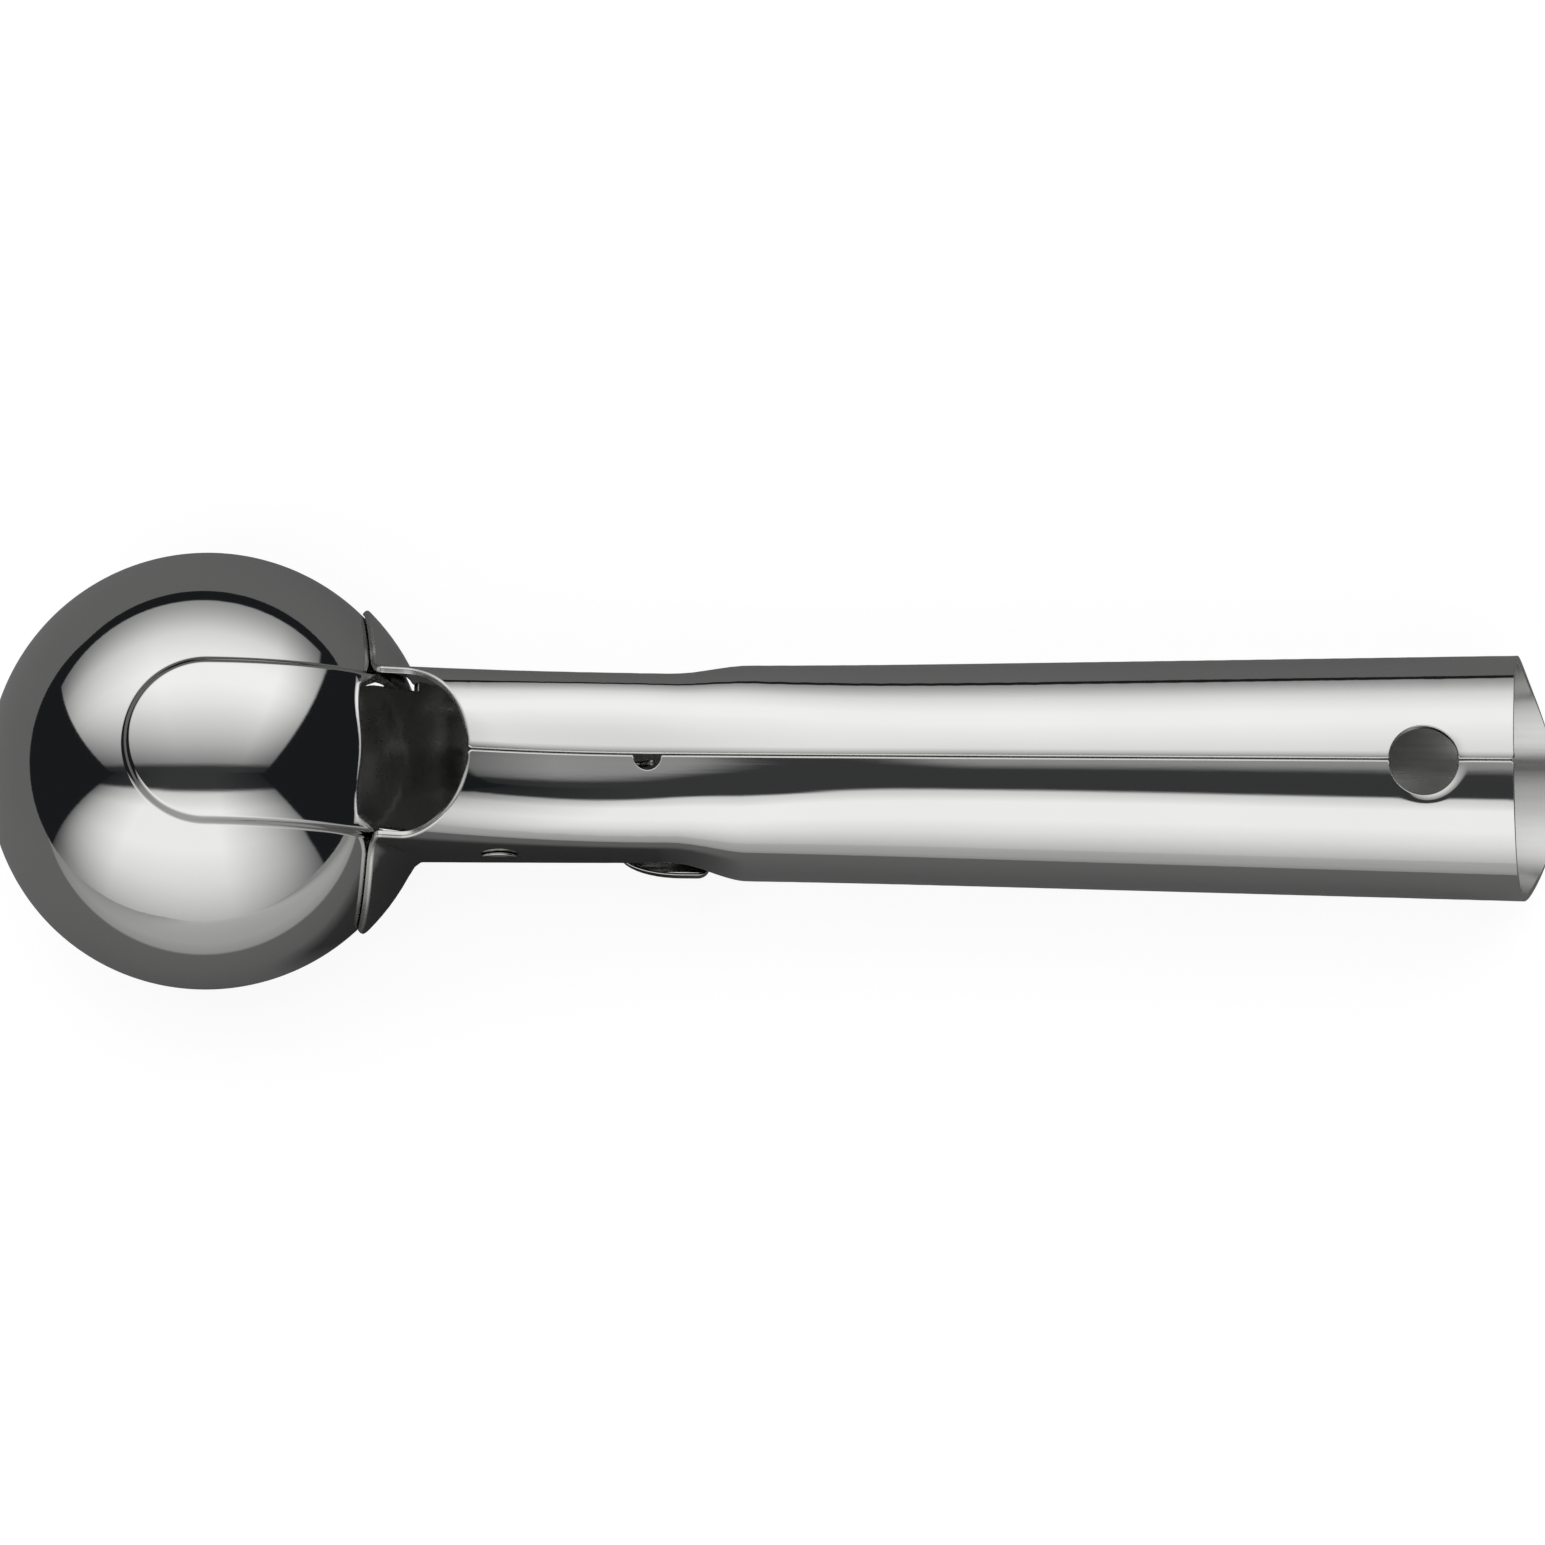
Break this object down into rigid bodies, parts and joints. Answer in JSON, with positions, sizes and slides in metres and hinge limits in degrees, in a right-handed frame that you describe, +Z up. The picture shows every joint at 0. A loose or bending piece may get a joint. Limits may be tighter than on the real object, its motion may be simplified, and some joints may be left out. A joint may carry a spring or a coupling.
{
  "type": "ice cream scoop",
  "caption": "Stainless ice cream scoop: hemispherical bowl brazed in the collar of a rolled tube handle, with a sprung thumb lever whose tongue pushes the ball out of the bowl.",
  "frame": {"origin": "middle of the overall length and width, on the surface that the scoop lies on", "axes": "+X along the handle from the bowl to the open end, +Z up from the bowl's mouth to its back"},
  "size_m": [0.2014, 0.056, 0.0429],
  "materials": {
    "polished_sheet": "mirror polished stainless steel sheet",
    "lever_sheet": "tumble polished stainless steel sheet",
    "turned_steel": "turned and headed stainless steel",
    "spring_wire": "drawn stainless spring wire"
  },
  "bodies": {
    "handle": {"handle_shell": "polished_sheet", "bowl": "polished_sheet", "pivot_pin": "turned_steel", "washer_left": "turned_steel", "washer_right": "turned_steel", "return_spring": "spring_wire"},
    "lever": {"ejector_tongue": "lever_sheet", "lever_arm": "lever_sheet", "thumb_pad": "lever_sheet"}
  },
  "joints": [
    {"name": "thumb_lever", "type": "hinge", "parent": "handle", "child": "lever", "pos_m": [-0.0351, 0, 0.02217], "axis": [0, -1, 0], "range_deg": [0, 14], "stiffness_Nm_per_rad": 0.15, "springref_deg": -28.65, "deforming": ["return_spring"]}
  ]
}
